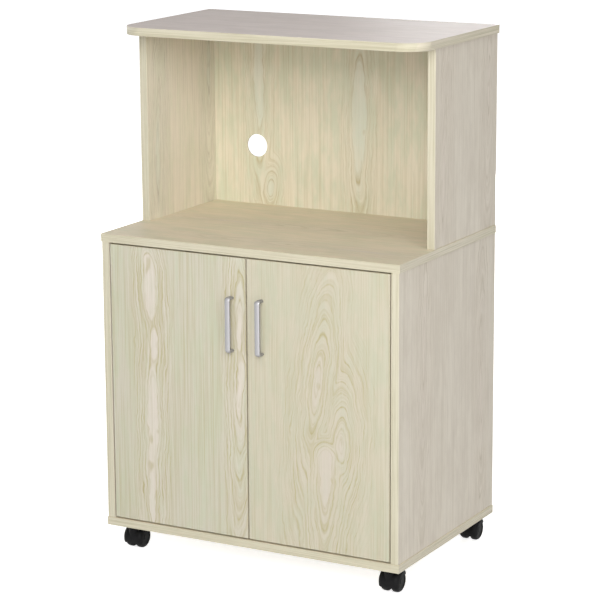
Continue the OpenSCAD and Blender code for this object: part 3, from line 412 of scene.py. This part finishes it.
dress(laminate("lower_side_laminate", UPRIGHT_FACING_SIDE, [
    (-0.090, 0.420, 0.06, 0.08, 0.02, 0.003),
    (0.150, 0.300, 0.08, 0.08, 0.0, 0.003),
], seed=15.5, tones=SIDE_TONES_WITH_PAINTED_LIGHT, contrast=0.9), "lower_left_side", "lower_right_side")

UPPER_SIDE_HEARTS = [
    (-0.015, 0.700, 0.07, 0.09, 0.05, 0.003),
    (0.170, 0.860, 0.10, 0.10, 0.0, 0.003),
]
UPPER_SIDE_SEED = 19.3
dress(laminate("upper_right_laminate", UPRIGHT_FACING_SIDE, UPPER_SIDE_HEARTS,
               seed=UPPER_SIDE_SEED, tones=SIDE_TONES_WITH_PAINTED_LIGHT, contrast=0.9), "upper_right_side")
# The left upper side takes the right side's grain in paler tones and with less contrast:
# painted light against the shade inside the bay.
dress(laminate("upper_left_laminate", UPRIGHT_FACING_SIDE, UPPER_SIDE_HEARTS,
               seed=UPPER_SIDE_SEED, tones=INNER_SIDE_TONES_WITH_PAINTED_LIGHT, contrast=0.75),
      "upper_left_side", "cam_covers")

dress(laminate("worktop_laminate", LYING_FLAT, [
    (0.020, -0.150, 0.10, 0.10, 0.02, 0.003),
    (-0.120, 0.200, 0.10, 0.10, 0.0, 0.003),
], seed=23.1, tones=SHELF_TONES_WITH_PAINTED_LIGHT, contrast=0.45, gloss=0.3),
      "worktop", "bottom_panel", "shelf")
dress(laminate("top_laminate", LYING_FLAT, [
    (0.080, 0.100, 0.10, 0.10, 0.02, 0.003),
], seed=27.7, tones=TOP_TONES_WITH_PAINTED_LIGHT, contrast=0.4, gloss=0.2), "top_panel")

dress(brushed_metal("satin_nickel", paint("A3A2A4"), roughness=0.56),
      "left_handle", "right_handle")
dress(plated_steel("zinc_plate", paint("C9CBCC"), paint("B3B5B8")),
      "shelf_pins", "cam_nuts", "hinge_arms", "hinge_plates", "left_hinge_cups",
      "right_hinge_cups", "left_strike_plate", "right_strike_plate")
dress(plated_steel("bright_screw_steel", paint("BFC0C2"), paint("A4A5A8"), roughness=0.28),
      "cam_bolts", "through_bolts", "bottom_screws", "hinge_arm_screws",
      "hinge_plate_screws", "catch_screws", "castor_screws", "left_handle_screws",
      "right_handle_screws", "left_hinge_pins", "right_hinge_pins", "left_door_screws",
      "right_door_screws", *ending("_castor_axle"))
dress(turned_wood("beech", paint("D8B98C"), paint("C49F6E")), "dowels")
dress(moulded_plastic("catch_plastic", paint("6B5440"), paint("7A6350")), "catch_housing")
dress(plated_steel("dark_magnet", paint("4A4A4C"), paint("3C3C3E"), roughness=0.5),
      "catch_magnets")
dress(moulded_plastic("black_enamel", paint("262628"), paint("303032"), roughness=0.35,
                      grain=900, strength=0.1), "castor_plates")
dress(moulded_plastic("castor_hood_plastic", paint("131314"), paint("1B1B1C"),
                      roughness=0.42, gloss=0.1), *ending("_castor_hood"))
dress(moulded_plastic("castor_wheel_plastic", paint("131314"), paint("1C1C1D"),
                      roughness=0.45, grain=1500, gloss=0.1), *ending("_wheel"))

soften("top_panel", "upper_left_side", "upper_right_side", "worktop", "lower_left_side",
       "lower_right_side", "bottom_panel", "shelf", "left_door", "right_door")


# ---- the studio ----------------------------------------------------------------------------

WHITE = (1.0, 1.0, 1.0, 1.0)
ROOM_LIGHT = 0.14
FLOOR_REACH = 14.0
FLOOR_COLOUR, FLOOR_ROUGHNESS = (0.86, 0.86, 0.86, 1.0), 0.9
FLOOR_GLOW = 0.72  # under the cart, where the shadow shows
FLOOR_TURNS_WHITE = (0.5, 2.2)  # metres from the middle

# Each soft box has its place, its width and height, and its power in watts
CART_MIDDLE = (0.0, 0.0, 0.5)
SOFT_BOXES = {
    "front_key": ((1.64, -3.52, 1.47), 1.2, 1.2, 42.0),
    "high_key": ((1.18, -3.26, 2.50), 1.6, 1.6, 70.0),
    "right_fill": ((3.08, -2.24, 1.74), 1.6, 1.6, 36.0),
    "overhead": ((1.29, -1.53, 3.96), 1.6, 1.6, 22.0),
    "left_fill": ((-3.9, 0.7, 1.2), 2.0, 1.6, 45.0),
    "back_fill": ((-0.7, 3.9, 0.9), 2.0, 1.6, 80.0),
}

# The camera of the photograph, fitted to the corners of the boards in it
YAW, PITCH, ROLL = math.radians(28.735), math.radians(12.903), math.radians(-0.343)
FOCAL_LENGTH, PICTURE_WIDTH = 2461.996, 600  # in dots of the photograph
SENSOR_WIDTH = 36.0
TO_THE_RIGHT, BEFORE_WORKTOP, ABOVE_FLOOR = 2.10188, 3.63660, 1.46885


def studio_floor():
    """A white floor that shows the cart's shadow and runs out into the white of the room."""
    mesh = bpy.data.meshes.new("floor")
    corners = [(-1, -1), (1, -1), (1, 1), (-1, 1)]
    mesh.from_pydata([(x * FLOOR_REACH, y * FLOOR_REACH, 0) for x, y in corners], [],
                     [(0, 1, 2, 3)])
    floor = bpy.data.objects.new("floor", mesh)
    bpy.context.scene.collection.objects.link(floor)
    finish = Finish("floor_white", Base_Color=FLOOR_COLOUR, Roughness=FLOOR_ROUGHNESS)
    here = finish.at_rest()
    away = (here[X] * here[X] + here[Y] * here[Y]).root().ramp(*FLOOR_TURNS_WHITE)
    lift = FLOOR_GLOW + away * (1 - FLOOR_GLOW)
    seen = finish.node("ShaderNodeLightPath", out="Is Camera Ray")
    mirrored = finish.node("ShaderNodeLightPath", out="Is Glossy Ray")
    glow = lift * (seen + mirrored).clamped()
    finish.set({"Emission Color": finish.grey(glow), "Emission Strength": 1.0})
    mesh.materials.append(finish.material)


def white_room():
    """A room that looks white, also in reflections, and lights the cart softly."""
    world = bpy.data.worlds.new("white_room")
    bpy.context.scene.world = world
    world.use_nodes = True
    tree = world.node_tree
    tree.nodes.clear()
    path = tree.nodes.new("ShaderNodeLightPath")
    seen = tree.nodes.new("ShaderNodeMath")
    seen.operation = "MAXIMUM"
    both = tree.nodes.new("ShaderNodeMixShader")
    output = tree.nodes.new("ShaderNodeOutputWorld")
    for slot, ray in enumerate(["Is Camera Ray", "Is Glossy Ray"]):
        tree.links.new(path.outputs[ray], seen.inputs[slot])
    tree.links.new(seen.outputs[0], both.inputs[0])
    for slot, strength in [(1, ROOM_LIGHT), (2, 1.0)]:
        light = tree.nodes.new("ShaderNodeBackground")
        light.inputs["Color"].default_value = WHITE
        light.inputs["Strength"].default_value = strength
        tree.links.new(light.outputs[0], both.inputs[slot])
    tree.links.new(both.outputs[0], output.inputs[0])


def soft_box(name, place, width, height, power):
    light = bpy.data.lights.new(name, "AREA")
    light.shape = "RECTANGLE"
    light.size, light.size_y = width, height
    light.energy = power
    lamp = bpy.data.objects.new(name, light)
    lamp.location = place
    lamp.visible_camera = False
    lamp.rotation_mode = "QUATERNION"
    aim = Vector(CART_MIDDLE) - Vector(place)
    lamp.rotation_quaternion = aim.to_track_quat("-Z", "Y")
    bpy.context.scene.collection.objects.link(lamp)


def photographer():
    """Sets up the camera: where it stood, which way it looked and how long its lens was."""
    ahead = Vector((-math.sin(YAW) * math.cos(PITCH), math.cos(YAW) * math.cos(PITCH),
                    -math.sin(PITCH)))
    level = Vector((math.cos(YAW), math.sin(YAW), 0.0))
    upright = level.cross(ahead)
    right = level * math.cos(ROLL) + upright * math.sin(ROLL)
    up = upright * math.cos(ROLL) - level * math.sin(ROLL)
    data = bpy.data.cameras.new("photographer")
    data.sensor_width = SENSOR_WIDTH
    data.lens = SENSOR_WIDTH * FOCAL_LENGTH / PICTURE_WIDTH
    camera = bpy.data.objects.new("photographer", data)
    turn = Matrix((right, up, -ahead)).transposed().to_4x4()
    stand = Vector((TO_THE_RIGHT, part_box("worktop")[0].y - BEFORE_WORKTOP, ABOVE_FLOOR))
    camera.matrix_world = Matrix.Translation(stand) @ turn
    bpy.context.scene.collection.objects.link(camera)
    bpy.context.scene.camera = camera


studio_floor()
white_room()
for name, (place, width, height, power) in SOFT_BOXES.items():
    soft_box(name, place, width, height, power)
photographer()

bpy.context.scene.view_settings.view_transform = "Standard"
